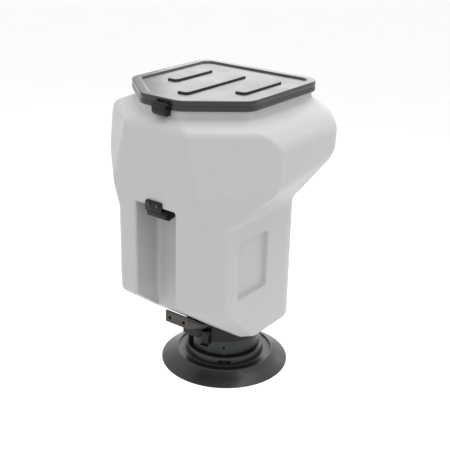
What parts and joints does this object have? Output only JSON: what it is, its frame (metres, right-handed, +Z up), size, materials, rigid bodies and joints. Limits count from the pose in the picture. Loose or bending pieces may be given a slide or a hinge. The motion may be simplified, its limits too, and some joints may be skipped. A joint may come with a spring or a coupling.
{
  "type": "tailgate salt spreader",
  "caption": "Poly hopper with hinged lid, slide gate and feed drum that drops de-icing salt onto a shrouded spinner behind a vehicle.",
  "frame": {"origin": "midpoint of the two lower mounting bolts, on the face that lies against the vehicle's post", "axes": "+Z up, -Y towards the vehicle, +X to the side that is on the right when looking from the vehicle's post to the spreader"},
  "size_m": [0.6, 0.544, 0.929],
  "materials": {
    "white_polyethylene": "rotomoulded, fine satin texture",
    "lid_polyethylene": "moulded, satin",
    "black_moulding": "injection moulded, fine texture",
    "guard_moulding": "moulded, semi-gloss",
    "spinner_moulding": "moulded, satin",
    "grey_drum": "rolled sheet, satin",
    "stainless_plate": "cold rolled, satin",
    "stainless_shaft": "turned",
    "zinc_steel": "zinc plated",
    "black_oxide": "black oxide",
    "black_powder_coat": "powder coated, fine texture",
    "cast_aluminium": "die cast, bead blasted",
    "bronze": "sintered",
    "rubber_seal": "closed-cell foam rubber",
    "rubber_strap": "moulded EPDM"
  },
  "bodies": {
    "hopper": {"hopper_shell": "white_polyethylene", "lid_hinge_bracket": "black_moulding", "lid_hinge_pin": "zinc_steel", "latch_catch": "black_moulding", "mounting_plate": "stainless_plate", "plate_bolts": "zinc_steel", "post_hanger": "black_powder_coat", "hanger_screws": "black_oxide", "gate_guides": "black_moulding", "feed_collar": "black_moulding", "drum": "grey_drum", "guard_screws": "black_oxide", "motor_spider": "cast_aluminium", "motor": "black_powder_coat", "gearbox": "cast_aluminium", "shaft_bushes": "bronze", "shaft_seal": "rubber_seal", "clamp_bracket_front": "black_powder_coat", "clamp_bracket_back": "black_powder_coat", "clamp_keepers": "black_moulding", "cable_duct": "black_moulding", "cable_gland": "black_moulding"},
    "lid": {"lid_panel": "lid_polyethylene", "lid_gasket": "rubber_seal", "latch_pin": "zinc_steel"},
    "latch": {"latch_strap": "rubber_strap"},
    "gate": {"gate_slide": "stainless_plate", "gate_handle": "black_moulding"},
    "guard": {"spread_guard": "guard_moulding"},
    "rotor": {"drive_shaft": "stainless_shaft", "spinner_disc": "spinner_moulding", "spinner_hub": "cast_aluminium", "spinner_nut": "zinc_steel", "auger_tube": "stainless_shaft", "auger_flight": "stainless_shaft", "agitator": "zinc_steel"},
    "clamp_front": {"clamp_lever_front": "black_powder_coat"},
    "clamp_back": {"clamp_lever_back": "black_powder_coat"}
  },
  "joints": [
    {"name": "lid_hinge", "type": "hinge", "parent": "hopper", "child": "lid", "pos_m": [0.01, -0.082, 0.669], "axis": [1, 0, 0], "range_deg": [0, 100]},
    {"name": "latch_swing", "type": "hinge", "parent": "lid", "child": "latch", "pos_m": [0, 0.4035, 0.667], "axis": [1, 0, 0], "range_deg": [0, 110]},
    {"name": "gate_travel", "type": "slide", "parent": "hopper", "child": "gate", "axis": [0, -1, 0], "range_m": [0, 0.15]},
    {"name": "guard_turn", "type": "hinge", "parent": "hopper", "child": "guard", "pos_m": [0, 0.24, -0.196], "axis": [0, 0, 1], "range_deg": [-7, 7]},
    {"name": "spinner_spin", "type": "hinge", "parent": "hopper", "child": "rotor", "pos_m": [0, 0.24, -0.226], "axis": [0, 0, 1], "continuous": true},
    {"name": "clamp_front_swing", "type": "hinge", "parent": "hopper", "child": "clamp_front", "pos_m": [0.02049, 0.11061, -0.078], "axis": [-0.9877, -0.1564, 0], "range_deg": [0, 70]},
    {"name": "clamp_back_swing", "type": "hinge", "parent": "hopper", "child": "clamp_back", "pos_m": [-0.02049, 0.36939, -0.078], "axis": [0.9877, 0.1564, 0], "range_deg": [0, 70]}
  ]
}
